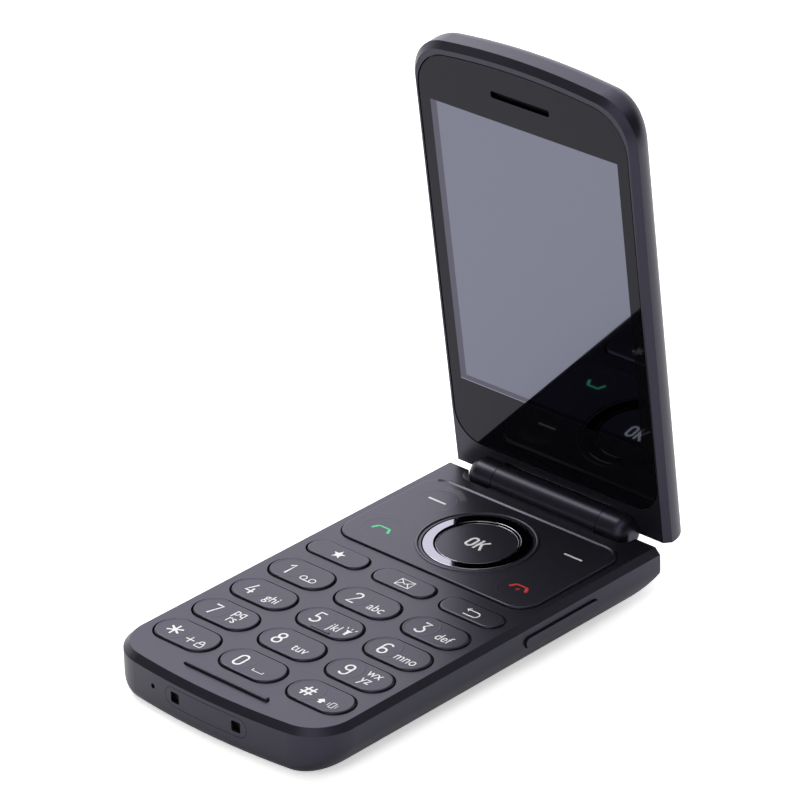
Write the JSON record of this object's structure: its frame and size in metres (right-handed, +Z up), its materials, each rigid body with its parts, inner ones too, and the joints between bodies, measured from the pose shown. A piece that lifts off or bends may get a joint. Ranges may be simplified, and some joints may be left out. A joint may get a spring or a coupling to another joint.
{
  "type": "flip phone",
  "caption": "Folding clamshell phone with keypad, navigation ring and hinged display lid, standing open.",
  "frame": {"origin": "middle of the flat underside of the keypad half", "axes": "+X across the phone towards the volume rocker, +Y towards the hinge, +Z up out of the keypad face"},
  "size_m": [0.054, 0.1002, 0.1014],
  "materials": {
    "housing": "satin",
    "key_plastic": "satin",
    "ring_gloss": "gloss",
    "pane": "gloss",
    "camera_black": "gloss",
    "lamp_lens": "gloss",
    "rubber": "matte",
    "silicone": "matte",
    "dome_steel": "satin",
    "circuit_board": "satin",
    "battery_can": "satin",
    "contact_metal": "satin",
    "socket_steel": "satin",
    "screw_steel": "satin",
    "hinge_steel": "satin",
    "cable_film": "satin",
    "display": "gloss",
    "tray_steel": "satin",
    "earpiece_steel": "satin",
    "mesh_steel": "satin"
  },
  "bodies": {
    "base": {"base_bottom_cover": "housing", "base_screws": "screw_steel", "base_top_cover": "housing", "battery": "battery_can", "battery_cover": "housing", "bumper_strip": "rubber", "charging_contacts": "contact_metal", "charging_socket": "socket_steel", "contact_insert": "housing", "dome_sheet": "dome_steel", "hinge_cartridge": "hinge_steel", "keypad_mat": "silicone", "loudspeaker": "earpiece_steel", "main_board": "circuit_board", "microphone": "socket_steel", "vibration_motor": "hinge_steel"},
    "lid": {"lid_front_cover": "housing", "lid_back_cover": "housing", "lens_pane": "pane", "display_panel": "display", "display_tray": "tray_steel", "lid_circuit_board": "circuit_board", "earpiece": "earpiece_steel", "earpiece_mesh": "mesh_steel", "outer_window": "pane", "outer_display": "display", "camera": "camera_black", "lamp": "lamp_lens", "lid_screws": "screw_steel", "hinge_shaft": "hinge_steel", "hinge_bush": "hinge_steel", "display_cable": "cable_film"},
    "key_0": {"key_0": "key_plastic"},
    "key_1": {"key_1": "key_plastic"},
    "key_2": {"key_2": "key_plastic"},
    "key_3": {"key_3": "key_plastic"},
    "key_4": {"key_4": "key_plastic"},
    "key_5": {"key_5": "key_plastic"},
    "key_6": {"key_6": "key_plastic"},
    "key_7": {"key_7": "key_plastic"},
    "key_8": {"key_8": "key_plastic"},
    "key_9": {"key_9": "key_plastic"},
    "key_back": {"key_back": "key_plastic"},
    "key_favourite": {"key_favourite": "key_plastic"},
    "key_hash": {"key_hash": "key_plastic"},
    "key_message": {"key_message": "key_plastic"},
    "key_star": {"key_star": "key_plastic"},
    "nav_plate": {"nav_plate": "key_plastic"},
    "nav_ring": {"nav_ring": "ring_gloss"},
    "ok_button": {"ok_button": "key_plastic"},
    "volume_rocker": {"volume_rocker": "key_plastic"}
  },
  "joints": [
    {"name": "lid_hinge", "type": "hinge", "parent": "base", "child": "lid", "pos_m": [0, 0.04643, 0.00925], "axis": [-1, 0, 0], "range_deg": [-83.7, 76.3]},
    {"name": "key_0_press", "type": "slide", "parent": "base", "child": "key_0", "axis": [0, 0, -1], "range_m": [0, 0.00035], "stiffness_N_per_m": 300},
    {"name": "key_1_press", "type": "slide", "parent": "base", "child": "key_1", "axis": [0, 0, -1], "range_m": [0, 0.00035], "stiffness_N_per_m": 300},
    {"name": "key_2_press", "type": "slide", "parent": "base", "child": "key_2", "axis": [0, 0, -1], "range_m": [0, 0.00035], "stiffness_N_per_m": 300},
    {"name": "key_3_press", "type": "slide", "parent": "base", "child": "key_3", "axis": [0, 0, -1], "range_m": [0, 0.00035], "stiffness_N_per_m": 300},
    {"name": "key_4_press", "type": "slide", "parent": "base", "child": "key_4", "axis": [0, 0, -1], "range_m": [0, 0.00035], "stiffness_N_per_m": 300},
    {"name": "key_5_press", "type": "slide", "parent": "base", "child": "key_5", "axis": [0, 0, -1], "range_m": [0, 0.00035], "stiffness_N_per_m": 300},
    {"name": "key_6_press", "type": "slide", "parent": "base", "child": "key_6", "axis": [0, 0, -1], "range_m": [0, 0.00035], "stiffness_N_per_m": 300},
    {"name": "key_7_press", "type": "slide", "parent": "base", "child": "key_7", "axis": [0, 0, -1], "range_m": [0, 0.00035], "stiffness_N_per_m": 300},
    {"name": "key_8_press", "type": "slide", "parent": "base", "child": "key_8", "axis": [0, 0, -1], "range_m": [0, 0.00035], "stiffness_N_per_m": 300},
    {"name": "key_9_press", "type": "slide", "parent": "base", "child": "key_9", "axis": [0, 0, -1], "range_m": [0, 0.00035], "stiffness_N_per_m": 300},
    {"name": "key_back_press", "type": "slide", "parent": "base", "child": "key_back", "axis": [0, 0, -1], "range_m": [0, 0.00035], "stiffness_N_per_m": 300},
    {"name": "key_favourite_press", "type": "slide", "parent": "base", "child": "key_favourite", "axis": [0, 0, -1], "range_m": [0, 0.00035], "stiffness_N_per_m": 300},
    {"name": "key_hash_press", "type": "slide", "parent": "base", "child": "key_hash", "axis": [0, 0, -1], "range_m": [0, 0.00035], "stiffness_N_per_m": 300},
    {"name": "key_message_press", "type": "slide", "parent": "base", "child": "key_message", "axis": [0, 0, -1], "range_m": [0, 0.00035], "stiffness_N_per_m": 300},
    {"name": "key_star_press", "type": "slide", "parent": "base", "child": "key_star", "axis": [0, 0, -1], "range_m": [0, 0.00035], "stiffness_N_per_m": 300},
    {"name": "ok_button_press", "type": "slide", "parent": "base", "child": "ok_button", "axis": [0, 0, -1], "range_m": [0, 0.00035], "stiffness_N_per_m": 300},
    {"name": "nav_plate_press", "type": "slide", "parent": "base", "child": "nav_plate", "axis": [0, 0, -1], "range_m": [0, 0.00035], "stiffness_N_per_m": 400},
    {"name": "nav_ring_tilt", "type": "hinge", "parent": "base", "child": "nav_ring", "pos_m": [0, 0.02533, 0.0077], "axis": [1, 0, 0], "range_deg": [-1.5, 1.5], "stiffness_Nm_per_rad": 0.03},
    {"name": "volume_rocker_tilt", "type": "hinge", "parent": "base", "child": "volume_rocker", "pos_m": [0.02435, 0.01833, 0.0055], "axis": [0, 0, 1], "range_deg": [-1.2, 1.2], "stiffness_Nm_per_rad": 0.03}
  ]
}
